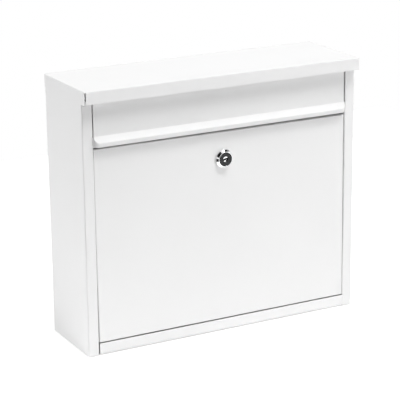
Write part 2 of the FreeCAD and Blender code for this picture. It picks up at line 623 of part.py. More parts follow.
def make_lock_housing():
    """Chrome collar and barrel with two flats, and a stop lug on the barrel's end."""
    body = new_lock_body("lock_housing")
    profile = new_sketch(body, "XZ_Plane")
    bore = "(Sizes.plug_diameter / 2 + Sizes.running_clearance)"
    pocket = "(Sizes.plug_head_diameter / 2 + Sizes.running_clearance)"
    seat = "(Sizes.bezel_height - Sizes.plug_recess - Sizes.plug_head_height - Sizes.running_clearance)"
    end = f"-{barrel_length}"
    draw_polygon(profile, [
        (bore, end), ("Sizes.barrel_diameter / 2", end), ("Sizes.barrel_diameter / 2", "0"),
        ("Sizes.bezel_diameter / 2", "0"), ("Sizes.bezel_diameter / 2", "Sizes.bezel_rim"),
        ("Sizes.bezel_diameter / 2 - Sizes.bezel_shoulder_setback", "Sizes.bezel_shoulder_height"),
        ("Sizes.bezel_face_diameter / 2", "Sizes.bezel_height"), (pocket, "Sizes.bezel_height"),
        (pocket, seat), (bore, seat)])
    revolve(profile, "V_Axis")
    flats = new_sketch(body, "XY_Plane")
    edge = "Sizes.barrel_flat_width / 2"
    past_edge = f"(Sizes.barrel_diameter / 2 + {PAST})"
    draw_rectangle(flats, edge, past_edge, f"-{past_edge}", past_edge)
    draw_rectangle(flats, f"-{past_edge}", f"-{edge}", f"-{past_edge}", past_edge)
    extrude("Pocket", flats, barrel_length)
    lug = new_sketch(body, "XY_Plane", end)
    inner = "Sizes.stop_track_diameter + 2 * Sizes.stop_track_play"
    outer = "Sizes.stop_diameter"
    draw_ring_sector(lug, inner, outer, "270 - Sizes.stop_lug_angle / 2", "270 + Sizes.stop_lug_angle / 2")
    extrude("Pad", lug, "Sizes.stop_gauge", backwards=True)
    return body


def make_lock_nut():
    """Hexagon nut on the barrel, against the inside of the door."""
    body = new_lock_body("lock_nut")
    section = new_sketch(body, "XY_Plane", "-Sizes.gauge")
    draw_hexagon(section, "Sizes.nut_width")
    draw_circle(section, "0", "0", "Sizes.barrel_diameter")
    extrude("Pad", section, "Sizes.nut_height", backwards=True)
    return body


def draw_tail_square(sketch, width):
    half = f"({width}) / 2"
    draw_rectangle(sketch, f"-{half}", half, f"-{half}", half)


def make_lock_plug():
    """Plug with a dished face, a key slot, and a square tail for stop washer and cam."""
    body = new_lock_body("lock_plug")
    profile = new_sketch(body, "XZ_Plane")
    face = "(Sizes.bezel_height - Sizes.plug_recess)"
    neck = f"({face} - Sizes.plug_head_height)"
    end = f"(-{barrel_length} - Sizes.running_clearance)"
    draw_polygon(profile, [
        ("0", end), ("Sizes.plug_diameter / 2", end), ("Sizes.plug_diameter / 2", neck),
        ("Sizes.plug_head_diameter / 2", neck), ("Sizes.plug_head_diameter / 2", face),
        ("Sizes.dish_diameter / 2", face), ("Sizes.dish_floor_diameter / 2", f"{face} - Sizes.dish_depth"),
        ("0", f"{face} - Sizes.dish_depth")])
    revolve(profile, "V_Axis")
    tail = new_sketch(body, "XY_Plane", end)
    draw_tail_square(tail, "Sizes.tail_width")
    extrude("Pad", tail, "Sizes.stop_gauge + Sizes.cam_gauge - Sizes.cam_fit", backwards=True)
    key_slot = new_sketch(body, "XY_Plane", face)
    tilt = "Sizes.key_slot_tilt"
    corners = []
    for along, up in ((-1, -1), (1, -1), (1, 1), (-1, 1)):
        half_length = f"Sizes.key_slot_length / 2 * {along}"
        half_breadth = f"Sizes.key_slot_width / 2 * {up}"
        corners.append((f"{half_length} * cos({tilt}) - {half_breadth} * sin({tilt})",
                        f"{half_length} * sin({tilt}) + {half_breadth} * cos({tilt})"))
    draw_polygon(key_slot, corners)
    extrude("Pocket", key_slot, "Sizes.key_slot_depth")
    tail_end = f"{end} - Sizes.stop_gauge - Sizes.cam_gauge - {PAST}"
    screw_hole = new_sketch(body, "XY_Plane", tail_end)
    draw_circle(screw_hole, "0", "0", "Sizes.screw_diameter")
    extrude("Pocket", screw_hole, f"Sizes.screw_length + {PAST}", backwards=True)
    return body


def make_lock_stop_washer():
    """Washer on the tail, cut away where the barrel's lug runs from one stop to the other."""
    body = new_lock_body("lock_stop_washer")
    section = new_sketch(body, "XY_Plane", f"-{barrel_length} - Sizes.running_clearance")
    draw_circle(section, "0", "0", "Sizes.stop_diameter")
    draw_tail_square(section, "Sizes.tail_width + Sizes.cam_fit")
    extrude("Pad", section, "Sizes.stop_gauge", backwards=True)
    track = new_sketch(body, "XY_Plane", f"-{barrel_length} + {PAST}")
    first = "270 - Sizes.stop_lug_angle / 2 - Sizes.stop_margin"
    last = "270 + Sizes.stop_lug_angle / 2 + Sizes.stop_margin + Sizes.stop_turn"
    draw_ring_sector(track, "Sizes.stop_track_diameter", f"Sizes.stop_diameter + {PAST}", first, last)
    extrude("Pocket", track, f"Sizes.stop_gauge + 2 * {PAST}")
    return body


def make_lock_cam():
    """Flat tapered cam on the tail, pointing sideways while the door is free to open."""
    body = new_lock_body("lock_cam")
    section = new_sketch(body, "XY_Plane", f"-{barrel_length} - Sizes.running_clearance - Sizes.stop_gauge")
    reach = "(Sizes.lock_drop + Sizes.door_gap_top + Sizes.cam_catch - Sizes.cam_tip_diameter / 2)"
    hub = number_of(section, "Sizes.cam_hub_diameter / 2")
    tip = number_of(section, "Sizes.cam_tip_diameter / 2")
    tip_middle = FreeCAD.Vector(-number_of(section, reach), 0, 0)
    lean = math.acos((hub - tip) / tip_middle.Length)
    hub_arc = draw_arc(section, FreeCAD.Vector(), hub, lean - math.pi, math.pi - lean)
    tip_arc = draw_arc(section, tip_middle, tip, math.pi - lean, math.pi + lean)
    for start, end in (((hub_arc, 2), (tip_arc, 1)), ((tip_arc, 2), (hub_arc, 1))):
        line = section.addGeometry(Part.LineSegment(section.getPoint(*start), section.getPoint(*end)))
        section.addConstraint(Sketcher.Constraint("Tangent", *start, line, 1))
        section.addConstraint(Sketcher.Constraint("Tangent", line, 2, *end))
    section.addConstraint(Sketcher.Constraint("Coincident", hub_arc, 3, -1, 1))
    dimension(section, "Diameter", (hub_arc,), "Sizes.cam_hub_diameter")
    dimension(section, "Diameter", (tip_arc,), "Sizes.cam_tip_diameter")
    dimension(section, "DistanceX", (-1, 1, tip_arc, 3), f"-{reach}")
    dimension(section, "DistanceY", (-1, 1, tip_arc, 3), "0")
    draw_tail_square(section, "Sizes.tail_width + Sizes.cam_fit")
    extrude("Pad", section, "Sizes.cam_gauge", backwards=True)
    return body


stack_end = f"(-{barrel_length} - Sizes.running_clearance - Sizes.stop_gauge - Sizes.cam_gauge)"


def make_cam_washer():
    """Spring washer between the cam and its screw."""
    body = new_lock_body("cam_washer")
    section = new_sketch(body, "XY_Plane", stack_end)
    draw_circle(section, "0", "0", "Sizes.spring_washer_diameter")
    draw_circle(section, "0", "0", "Sizes.screw_diameter + Sizes.cam_fit")
    extrude("Pad", section, "Sizes.spring_washer_gauge", backwards=True)
    return body


def make_cam_screw():
    """Hexagon screw in the plug's tail."""
    body = new_lock_body("cam_screw")
    seat = f"({stack_end} - Sizes.spring_washer_gauge)"
    head = new_sketch(body, "XY_Plane", seat)
    draw_hexagon(head, "Sizes.screw_head_width")
    extrude("Pad", head, "Sizes.screw_head_height", backwards=True)
    shank = new_sketch(body, "XY_Plane", seat)
    draw_circle(shank, "0", "0", "Sizes.screw_diameter")
    extrude("Pad", shank, "Sizes.screw_length")
    return body


pieces = [
    make_body_shell(),
    make_roof(),
    make_bottom_pan(),
    make_slot_rail(),
    make_flap_hinge_rod(),
    make_flap(),
    make_door(),
    make_door_hinge_pin("left", -1),
    make_door_hinge_pin("right", 1),
    make_lock_housing(),
    make_lock_nut(),
    make_lock_plug(),
    make_lock_stop_washer(),
    make_lock_cam(),
    make_cam_washer(),
    make_cam_screw(),
]

doc.recompute()
for item in doc.Objects:
    if "Invalid" in item.State or "Error" in item.State:
        raise ValueError(f"{item.Label} did not recompute: {item.State}")
for piece in pieces:
    if piece.Shape.isNull() or not piece.Shape.isValid():
        raise ValueError(f"{piece.Label} has no valid shape")

os.makedirs("parts", exist_ok=True)
for piece in pieces:
    piece.Shape.exportStep(f"parts/{piece.Label}.step")
    box = piece.Shape.BoundBox
    print(f"{piece.Label}: {len(piece.Shape.Solids)} solid, {piece.Shape.Volume:.1f} mm3, "
          f"x {box.XMin:.2f} {box.XMax:.2f}, y {box.YMin:.2f} {box.YMax:.2f}, z {box.ZMin:.2f} {box.ZMax:.2f}")
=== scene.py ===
import math

import bmesh
import bpy
from mathutils import Euler, Matrix, Quaternion, Vector


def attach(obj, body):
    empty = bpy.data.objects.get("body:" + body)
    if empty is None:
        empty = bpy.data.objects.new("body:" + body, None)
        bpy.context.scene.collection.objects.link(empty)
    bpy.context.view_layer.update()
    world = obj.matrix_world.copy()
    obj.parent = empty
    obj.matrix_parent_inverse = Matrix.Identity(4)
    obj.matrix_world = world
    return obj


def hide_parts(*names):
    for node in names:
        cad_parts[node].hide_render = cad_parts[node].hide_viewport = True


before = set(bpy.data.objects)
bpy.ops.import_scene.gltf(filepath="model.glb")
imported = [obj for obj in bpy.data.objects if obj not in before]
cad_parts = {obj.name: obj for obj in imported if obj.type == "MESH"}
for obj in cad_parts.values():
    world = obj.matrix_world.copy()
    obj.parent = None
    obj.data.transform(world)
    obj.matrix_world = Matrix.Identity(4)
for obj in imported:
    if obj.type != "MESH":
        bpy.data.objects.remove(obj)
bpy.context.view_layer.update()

# The shell: back, side walls and stiles are one sheet of 0.8 mm steel with six folds along its height.
# The walls end where the roof's side flanges start; four plain holes in the back take the wall screws.
# Like all the sheet work it is coated with white powder, which flows into a satin, faintly pebbled skin.

mm = 0.001
gauge = 0.8 * mm
middle_layer = gauge / 2
raw_edge = 0.2 * mm
stile_fold = 0.7 * mm
wall_fold = 1.2 * mm
front = -45.55 * mm
half_body = 180.0 * mm
body_depth = 101.8 * mm
half_opening = 166.8 * mm
return_depth = 16.0 * mm
roof_top = 316.7 * mm
wall_top = 301.2 * mm
wall_hole = 7 * mm
wall_hole_pitch = (270 * mm, 200 * mm)
hinge_hole = 4 * mm
hinge_y = front + 10 * mm
hinge_z = 24.4 * mm
rod_hole = 3 * mm
rod_y = front + 5.5 * mm
rod_z = roof_top - 12 * mm


def new_material(name):
    """An empty node material with its Principled shader."""
    material = bpy.data.materials.new(name)
    material.use_nodes = True
    return material, material.node_tree.nodes["Principled BSDF"]


def feed(tree, socket, value):
    """Set an input to a value, or to another node's output."""
    if isinstance(value, bpy.types.NodeSocket):
        tree.links.new(value, socket)
    else:
        socket.default_value = value


def add_node(tree, kind, own=None, **inputs):
    """A node with its own settings, and with its inputs fed by name."""
    node = tree.nodes.new(kind)
    for name, value in (own or {}).items():
        setattr(node, name, value)
    for name, value in inputs.items():
        feed(tree, node.inputs[name.replace("_", " ")], value)
    return node


def calculate(tree, operation, first, second):
    """The result of a Math node."""
    node = add_node(tree, "ShaderNodeMath", {"operation": operation})
    feed(tree, node.inputs[0], first)
    feed(tree, node.inputs[1], second)
    return node.outputs["Value"]


# A noise stays near its middle, so this part of it is spread over the range that a finish asks for.
noise_range = (0.3, 0.7)


def object_noise(tree, scale, detail):
    """Noise fixed to the piece, in cells per metre."""
    place = add_node(tree, "ShaderNodeTexCoord").outputs["Object"]
    return add_node(tree, "ShaderNodeTexNoise", Vector=place, Scale=scale, Detail=detail).outputs["Fac"]


def add_bump(tree, shader, height, distance):
    """Raise the skin by a height from 0 to 1 times a distance in metres."""
    bump = add_node(tree, "ShaderNodeBump", Strength=1.0, Distance=distance, Height=height)
    feed(tree, shader.inputs["Normal"], bump.outputs["Normal"])


def new_finish(name, metallic, colour, roughness, bump=None):
    """A finish whose colour, roughness and bump each drift with a noise of their own. Each is given as the
    noise's scale and detail, followed by the two greys, the two roughnesses or the bump's height."""
    material, shader = new_material(name)
    tree = material.node_tree
    shader.inputs["Metallic"].default_value = metallic
    scale, detail, *greys = colour
    ramp = add_node(tree, "ShaderNodeValToRGB", Fac=object_noise(tree, scale, detail))
    for element, position, grey in zip(ramp.color_ramp.elements, noise_range, greys):
        element.position = position
        element.color = (*grey, 1)
    feed(tree, shader.inputs["Base Color"], ramp.outputs["Color"])
    scale, detail, low, high = roughness
    drift = add_node(tree, "ShaderNodeMapRange", Value=object_noise(tree, scale, detail),
                     From_Min=noise_range[0], From_Max=noise_range[1], To_Min=low, To_Max=high)
    feed(tree, shader.inputs["Roughness"], drift.outputs["Result"])
    if bump is not None:
        scale, detail, distance = bump
        add_bump(tree, shader, object_noise(tree, scale, detail), distance)
    return material


powder_coat = new_finish("white_powder_coat", 0, (9, 2, (0.868, 0.868, 0.868), (0.882, 0.882, 0.882)),
                         (35, 3, 0.52, 0.62), (700, 3, 0.06 * mm))


def as_mesh(shape, name):
    """The plain mesh of a bmesh, which ends with it."""
    mesh = bpy.data.meshes.new(name)
    shape.to_mesh(mesh)
    shape.free()
    return mesh


def as_shape(*meshes):
    """A bmesh of one mesh, or of several as one piece."""
    shape = bmesh.new()
    for mesh in meshes:
        shape.from_mesh(mesh)
    return shape


def settle(mesh, *steps):
    """Run modifiers over a mesh and give back the plain result. A step adds one modifier."""
    holder = bpy.data.objects.new("holder", mesh)
    bpy.context.scene.collection.objects.link(holder)
    for step in steps:
        step(holder)
    bpy.context.view_layer.update()
    evaluated = holder.evaluated_get(bpy.context.evaluated_depsgraph_get())
    result = bpy.data.meshes.new_from_object(evaluated)
    bpy.data.objects.remove(holder)
    return result


def flatten_normals(holder):
    """Keep large faces flat to the eye, so only the rounds between them shade smoothly."""
    weigh = holder.modifiers.new("flatten_normals", "WEIGHTED_NORMAL")
    weigh.mode = "FACE_AREA"
    weigh.keep_sharp = True


stray = 0.002 * mm
sharp_angle = math.radians(32)


def new_piece(name, mesh, body, material, node):
    """A finished piece: cleaned, smooth over its rounds, riding on a body and standing for a CAD node."""
    if material is not None:
        mesh.materials.clear()
        mesh.materials.append(material)
    shape = as_shape(mesh)
    bmesh.ops.remove_doubles(shape, verts=shape.verts, dist=stray)
    bmesh.ops.dissolve_degenerate(shape, dist=stray, edges=shape.edges)
    shape.to_mesh(mesh)
    shape.free()
    mesh.shade_smooth()
    mesh.set_sharp_from_angle(angle=sharp_angle)
    piece = bpy.data.objects.new(name, settle(mesh, flatten_normals))
    bpy.context.scene.collection.objects.link(piece)
    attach(piece, body)
    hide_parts(node)


def run_tree(tree, **sizes):
    """A step that runs a node tree with its inputs set by name."""
    def add(holder):
        grow = holder.modifiers.new(tree.name, "NODES")
        grow.node_group = tree
        for item in tree.interface.items_tree:
            size = item.name.replace(" ", "_").lower()
            if item.in_out == "INPUT" and size in sizes:
                grow[item.identifier] = sizes[size]
    return add


def new_tree(name, inputs):
    """A Geometry Nodes tree with a geometry in and out and some named inputs."""
    tree = bpy.data.node_groups.new(name, "GeometryNodeTree")
    tree.is_modifier = True
    tree.interface.new_socket("Geometry", in_out="OUTPUT", socket_type="NodeSocketGeometry")
    tree.interface.new_socket("Geometry", in_out="INPUT", socket_type="NodeSocketGeometry")
    for label, kind in inputs:
        tree.interface.new_socket(label, in_out="INPUT", socket_type=f"NodeSocket{kind}")
    return tree, tree.nodes.new("NodeGroupInput").outputs


def set_in_place(tree, geometry, sizes):
    """Turn and move a geometry as the tree's inputs say."""
    placed = add_node(tree, "GeometryNodeTransform", Geometry=geometry, Rotation=sizes["Turn"],
                      Translation=sizes["Place"])
    return placed.outputs["Geometry"]


def finish_tree(tree, geometry, sizes):
    """Close a tree: smooth faces, a plain mesh, one material."""
    smooth = add_node(tree, "GeometryNodeSetShadeSmooth", Geometry=geometry)
    real = add_node(tree, "GeometryNodeRealizeInstances", Geometry=smooth.outputs["Geometry"])
    coat = add_node(tree, "GeometryNodeSetMaterial", Geometry=real.outputs["Geometry"],
                    Material=sizes["Material"])
    feed(tree, tree.nodes.new("NodeGroupOutput").inputs["Geometry"], coat.outputs["Geometry"])


# A folded sheet follows the path of its middle layer: each corner of the path is rounded by its own fold
# radius, and a flat bar with rounded raw edges runs along it.
sheet_tree, sheet_sizes = new_tree("folded_sheet", [
    ("Gauge", "Float"), ("Width", "Float"), ("Raw Edge", "Float"), ("Fold Steps", "Int"),
    ("Turn", "Rotation"), ("Place", "Vector"), ("Material", "Material")])
sheet_path = add_node(sheet_tree, "GeometryNodeMeshToCurve", Mesh=sheet_sizes["Geometry"])
sheet_radius = add_node(sheet_tree, "GeometryNodeInputNamedAttribute", {"data_type": "FLOAT"},
                        Name="fold_radius")
sheet_folds = add_node(sheet_tree, "GeometryNodeFilletCurve", {"mode": "POLY"},
                       Curve=sheet_path.outputs["Curve"], Radius=sheet_radius.outputs["Attribute"],
                       Count=sheet_sizes["Fold Steps"])
sheet_upright = add_node(sheet_tree, "GeometryNodeSetCurveNormal", {"mode": "Z_UP"},
                         Curve=sheet_folds.outputs["Curve"])
sheet_bar = add_node(sheet_tree, "GeometryNodeCurvePrimitiveQuadrilateral", Width=sheet_sizes["Gauge"],
                     Height=sheet_sizes["Width"])
sheet_bar_round = add_node(sheet_tree, "GeometryNodeFilletCurve", {"mode": "POLY"},
                           Curve=sheet_bar.outputs["Curve"], Radius=sheet_sizes["Raw Edge"], Count=3)
sheet_sweep = add_node(sheet_tree, "GeometryNodeCurveToMesh", Curve=sheet_upright.outputs["Curve"],
                       Profile_Curve=sheet_bar_round.outputs["Curve"], Fill_Caps=True)
sheet_placed = set_in_place(sheet_tree, sheet_sweep.outputs["Mesh"], sheet_sizes)
finish_tree(sheet_tree, sheet_placed, sheet_sizes)


def folded_sheet(corners, width, turn, place):
    """A sheet of one gauge. Each corner is a point of the path with the fold's radius there."""
    mesh = bpy.data.meshes.new("sheet_path")
    points = [(across, along, 0) for across, along, radius in corners]
    mesh.from_pydata(points, [(step, step + 1) for step in range(len(points) - 1)], [])
    radii = mesh.attributes.new("fold_radius", "FLOAT", "POINT")
    for step, (across, along, radius) in enumerate(corners):
        radii.data[step].value = radius
    return settle(mesh, run_tree(sheet_tree, gauge=gauge, width=width, raw_edge=raw_edge, fold_steps=5,
                                 turn=turn, place=place, material=powder_coat))


# Holes are punched in a pattern: a grid of round punches goes through the sheet.
punch_tree, punch_sizes = new_tree("punched_holes", [
    ("Diameter", "Float"), ("Depth", "Float"), ("Pitch Across", "Float"), ("Pitch Up", "Float"),
    ("Count Across", "Int"), ("Count Up", "Int"), ("Turn", "Rotation"), ("Place", "Vector"),
    ("Material", "Material")])
punch_grid = add_node(punch_tree, "GeometryNodeMeshGrid", Size_X=punch_sizes["Pitch Across"],
                      Size_Y=punch_sizes["Pitch Up"], Vertices_X=punch_sizes["Count Across"],
                      Vertices_Y=punch_sizes["Count Up"])
punch_radius = calculate(punch_tree, "MULTIPLY", punch_sizes["Diameter"], 0.5)
punch_tool = add_node(punch_tree, "GeometryNodeMeshCylinder", Vertices=40, Radius=punch_radius,
                      Depth=punch_sizes["Depth"])
punch_set = add_node(punch_tree, "GeometryNodeInstanceOnPoints", Points=punch_grid.outputs["Mesh"],
                     Instance=punch_tool.outputs["Mesh"])
punch_placed = set_in_place(punch_tree, punch_set.outputs["Instances"], punch_sizes)
punch_real = add_node(punch_tree, "GeometryNodeRealizeInstances", Geometry=punch_placed)
punch_cut = add_node(punch_tree, "GeometryNodeMeshBoolean", {"operation": "DIFFERENCE"},
                     Mesh_1=punch_sizes["Geometry"], Mesh_2=punch_real.outputs["Geometry"])
finish_tree(punch_tree, punch_cut.outputs["Mesh"], punch_sizes)

along_wall = Euler((math.radians(90), 0, 0))
along_box = Euler((math.radians(90), 0, math.radians(90)))


def punch(diameter, depth, place, turn, pitch=(0, 0), count=(1, 1)):
    """A step that punches a pattern of holes."""
    return run_tree(punch_tree, diameter=diameter, depth=depth, pitch_across=pitch[0], pitch_up=pitch[1],
                    count_across=count[0], count_up=count[1], turn=turn, place=place, material=powder_coat)


def cut_with(cutter, operation="DIFFERENCE"):
    """A step that takes a cutter's mesh away from a piece, or keeps only what lies in it."""
    def add(holder):
        tool = bpy.data.objects.new("cutter", cutter)
        cut = holder.modifiers.new("cut", "BOOLEAN")
        cut.operation = operation
        cut.solver = "EXACT"
        cut.object = tool
    return add


def add_block(shape, low, high):
    """Add a closed box to a bmesh, from a low corner to a high corner."""
    low, high = Vector(low), Vector(high)
    sized = Matrix.Translation((low + high) / 2) @ Matrix.Diagonal((*(high - low), 1))
    bmesh.ops.create_cube(shape, size=1, matrix=sized)


def block(low, high):
    """A closed box as a mesh."""
    shape = bmesh.new()
    add_block(shape, low, high)
    return as_mesh(shape, "block")


def cut_both_sides(low, high):
    """Two steps that take away a box on the right and its mirror image on the left."""
    mirrored = block((-high[0], *low[1:]), (-low[0], *high[1:]))
    return [cut_with(block(low, high)), cut_with(mirrored)]


return_x = half_opening + middle_layer
wall_x = half_body - middle_layer
stile_y = front + middle_layer
back_y = front + body_depth - middle_layer
shell_half = [(-return_x, front + return_depth, 0), (-return_x, stile_y, stile_fold),
              (-wall_x, stile_y, wall_fold), (-wall_x, back_y, wall_fold)]
shell_path = shell_half + [(-x, y, radius) for x, y, radius in reversed(shell_half)]
shell_height = roof_top - gauge
shell_sheet = folded_sheet(shell_path, shell_height, Euler(), (0, 0, shell_height / 2))

# The walls are cut off under the roof's side flanges, and the stile heads are notched behind its front one.
past_fold = half_body - gauge - 0.02 * mm
past_x = half_body * 1.1
past_z = roof_top * 1.1
notch_x = half_opening + 2 * mm
notch_y = front + 3 * mm
notch_z = wall_top + 1.8 * mm
through_returns = 2 * (half_opening + 3 * mm)
shell_mesh = settle(
    shell_sheet,
    *cut_both_sides((past_fold, -half_body, wall_top), (past_x, half_body, past_z)),
    *cut_both_sides((notch_x, -half_body, notch_z), (past_x, notch_y, past_z)),
    punch(wall_hole, 6 * mm, (0, back_y, roof_top / 2), along_wall, wall_hole_pitch, (2, 2)),
    punch(hinge_hole, through_returns, (0, hinge_y, hinge_z), along_box),
    punch(rod_hole, through_returns, (0, rod_y, rod_z), along_box))
new_piece("shell_sheet", shell_mesh, "box", powder_coat, "body_shell")

# The floor pan: its front edge turns up between the stiles as the low rail under the door, tight against
# the right one. The other edges turn up along walls and back. It is folded from the same sheet and welded
# in before coating, so its raw edges are softened by the powder.


def merged_copy(node):
    """A copy of a CAD node's mesh with its corners joined and its flat faces whole."""
    shape = as_shape(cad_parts[node].data)
    bmesh.ops.remove_doubles(shape, verts=shape.verts, dist=1e-7)
    bmesh.ops.dissolve_limit(shape, angle_limit=math.radians(0.5), verts=shape.verts, edges=shape.edges)
    return as_mesh(shape, node)


def soften(width, angle=40, steps=2):
    """A step that rounds the edges sharper than an angle."""
    def add(holder):
        edge = holder.modifiers.new("soften", "BEVEL")
        edge.width = width
        edge.segments = steps
        edge.limit_method = "ANGLE"
        edge.angle_limit = math.radians(angle)
    return add


pan_copy = merged_copy("bottom_pan")
pan_rail_end = half_opening - 0.1 * mm
pan_rail_rear = front + 2 * gauge
pan_right_part = 160 * mm
for vertex in pan_copy.vertices:
    if vertex.co.y < pan_rail_rear and vertex.co.x > pan_right_part:
        vertex.co.x = pan_rail_end
pan_mesh = settle(pan_copy, soften(raw_edge))
new_piece("floor_pan", pan_mesh, "box", powder_coat, "bottom_pan")

# The cross rail: a channel of the same sheet, welded between the stiles behind the flap's pull lip. Its top
# flange is the sill that letters slide over, and its rear lip is what the lock's cam catches.

rail_fold = 1.2 * mm
rail_low = 248.7 * mm
rail_high = 261.7 * mm
rail_lip = 8 * mm
rail_sill = 10 * mm
rail_rear = front + return_depth - middle_layer
rail_web = front + gauge + middle_layer
rail_path = [(rail_rear, rail_low + rail_lip, 0), (rail_rear, rail_low + middle_layer, rail_fold),
             (rail_web, rail_low + middle_layer, rail_fold), (rail_web, rail_high - middle_layer, rail_fold),
             (front + gauge + rail_sill, rail_high - middle_layer, 0)]
rail_mesh = folded_sheet(rail_path, 2 * half_opening, along_box, (0, 0, 0))
new_piece("cross_rail", rail_mesh, "box", powder_coat, "slot_rail")

# The roof: a flat sheet with a front flange that overhangs the stiles and a flange down each side. The side
# flanges stand on the walls, welded and ground flush; at the front corners an open seam is left.

roof_front = front - 10.7 * mm
roof_back = front + body_depth
roof_fold = 1.6 * mm
front_drop = 14.8 * mm
seam = 1.6 * mm


def folded_pan(low, high, fold, open_sides, fold_test):
    """The skin of a sheet box: the folds that pass a test are rounded, and some sides are left open."""
    shape = bmesh.new()
    add_block(shape, low, high)
    bmesh.ops.recalc_face_normals(shape, faces=shape.faces)
    folds = [edge for edge in shape.edges if fold_test((edge.verts[0].co + edge.verts[1].co) / 2)]
    bmesh.ops.bevel(shape, geom=folds, offset=fold, segments=6, profile=0.5, affect="EDGES")
    gone = [face for face in shape.faces
            if any(face.normal.dot(Vector(side)) > 0.99 for side in open_sides)]
    bmesh.ops.delete(shape, geom=gone, context="FACES")
    return as_mesh(shape, "folded_pan")


def thicken(holder):
    """A step that adds the sheet's gauge inwards."""
    wall = holder.modifiers.new("thicken", "SOLIDIFY")
    wall.thickness = gauge
    wall.offset = -1
    wall.use_even_offset = True


roof_skin = folded_pan((-half_body, roof_front, wall_top), (half_body, roof_back, roof_top), roof_fold,
                       [(0, 0, -1), (0, 1, 0)],
                       lambda middle: middle.z > roof_top - mm and middle.y < roof_back - mm)
seam_x = half_body - seam
seam_y = roof_front + seam
seam_top = roof_top - 0.6 * roof_fold
outside = 5 * mm
before = roof_front - outside
below = wall_top - outside
flange_trim = block((-half_body, before, below), (half_body, seam_y - 0.2 * mm, roof_top - front_drop))
roof_mesh = settle(
    roof_skin, thicken,
    *cut_both_sides((seam_x, before, below), (half_body + outside, seam_y, seam_top)),
    cut_with(flange_trim))
new_piece("roof_sheet", roof_mesh, "box", powder_coat, "roof")

# The flap's rod: drawn steel wire, zinc plated and cut to length, through both stile returns. The flap's
# rolled edge turns on it.

zinc = new_finish("bright_zinc", 1, (120, 4, (0.55, 0.56, 0.58), (0.7, 0.71, 0.72)),
                  (300, 3, 0.25, 0.45), (1500, 2, 0.006 * mm))


def turned(outline, place, steps=72):
    """A piece turned on a lathe: an outline of radius and height, run round the height axis."""
    shape = bmesh.new()
    rings = []
    for part in range(steps):
        angle = 2 * math.pi * part / steps
        rings.append([shape.verts.new((r * math.cos(angle), r * math.sin(angle), z)) for r, z in outline])
    for ring, following in zip(rings, rings[1:] + rings[:1]):
        for step in range(len(outline)):
            nearby = (step + 1) % len(outline)
            shape.faces.new((ring[step], following[step], following[nearby], ring[nearby]))
    bmesh.ops.remove_doubles(shape, verts=shape.verts, dist=1e-7)
    bmesh.ops.dissolve_degenerate(shape, dist=1e-8, edges=shape.edges)
    bmesh.ops.recalc_face_normals(shape, faces=shape.faces)
    bmesh.ops.transform(shape, matrix=place, verts=shape.verts)
    return as_mesh(shape, "turned")


rod_radius = 1.5 * mm
rod_reach = 178.9 * mm
rod_chamfer = 0.3 * mm
rod_outline = [(0, -rod_reach), (rod_radius - rod_chamfer, -rod_reach),
               (rod_radius, -rod_reach + rod_chamfer), (rod_radius, rod_reach - rod_chamfer),
               (rod_radius - rod_chamfer, rod_reach), (0, rod_reach)]
rod_axis = Matrix.Translation((0, rod_y, rod_z)) @ along_box.to_matrix().to_4x4()
new_piece("flap_rod", turned(rod_outline, rod_axis, 32), "box", zinc, "flap_hinge_rod")

# The letter flap: one folded strip. From below it is a pull lip that tucks back, a ledge that slopes at 45
# degrees, the flat panel, and a top edge rolled round the rod. The ledge's corners are rounded, and the lip
# runs round them. It hangs a little to the left in the play of its rod.

flap_play = 0.7 * mm
flap_half = 165.4 * mm
flap_front = front - 0.3 * mm
ledge_root = 262.1 * mm
ledge_reach = 6.6 * mm
ledge_fold = 1.4 * mm
lip_low = 250.4 * mm
lip_high = ledge_root - ledge_reach
lip_tuck = 1.2 * mm
lip_fold = 1.0 * mm
roll_fold = 1.2 * mm
roll_radius = rod_radius + 0.05 * mm + middle_layer
roll_steps = 18
roll_turn = math.radians(15)
slope_shift = middle_layer * math.tan(math.radians(22.5))
panel_y = flap_front + middle_layer
lip_y = panel_y - ledge_reach
flap_path = [(lip_y + lip_tuck, lip_low, 0), (lip_y, lip_high - slope_shift, lip_fold),
             (panel_y, ledge_root - slope_shift, ledge_fold), (panel_y, rod_z + roll_radius, roll_fold)]
for step in range(roll_steps + 1):
    angle = math.radians(90) - roll_turn * step
    flap_path.append((rod_y + roll_radius * math.cos(angle), rod_z + roll_radius * math.sin(angle), 0))
flap_sheet = folded_sheet(flap_path, 2 * flap_half, along_box, (-flap_play, 0, 0))


def cut_across(shape, point, normal):
    """Divide the faces of a bmesh along a plane."""
    whole = shape.verts[:] + shape.edges[:] + shape.faces[:]
    bmesh.ops.bisect_plane(shape, geom=whole, plane_co=point, plane_no=normal)


def share(value, low, high):
    """How far a value has come from low to high, from 0 to 1."""
    return min(1, max(0, (value - low) / (high - low)))


lip_corner = 6 * mm
corner_start = 0.35 * mm
corner_steps = 8
left_over = 0.4 * mm
flap_shape = as_shape(flap_sheet)
for step in range(1, corner_steps + 1):
    inward = flap_half - lip_corner * (step / corner_steps) ** 2
    for sign in (-1, 1):
        cut_across(flap_shape, (sign * inward - flap_play, 0, 0), (1, 0, 0))
for vertex in flap_shape.verts:
    from_end = flap_half - abs(vertex.co.x + flap_play) + corner_start
    if from_end < lip_corner and vertex.co.z < ledge_root + mm:
        inset = lip_corner - math.sqrt(lip_corner ** 2 - (lip_corner - from_end) ** 2)
        outward = share(vertex.co.y, panel_y - gauge, lip_y + 2 * gauge)
        if vertex.co.z < lip_high - gauge:
            outward = 1
        upward = share(vertex.co.z, lip_low, lip_high)
        if vertex.co.x < 0:
            vertex.co.x -= left_over * outward * (1 - from_end / lip_corner)
        vertex.co.y += inset * outward
        vertex.co.z += inset * outward * upward
flap_mesh = as_mesh(flap_shape, "letter_flap")
new_piece("letter_flap", flap_mesh, "flap", powder_coat, "flap")

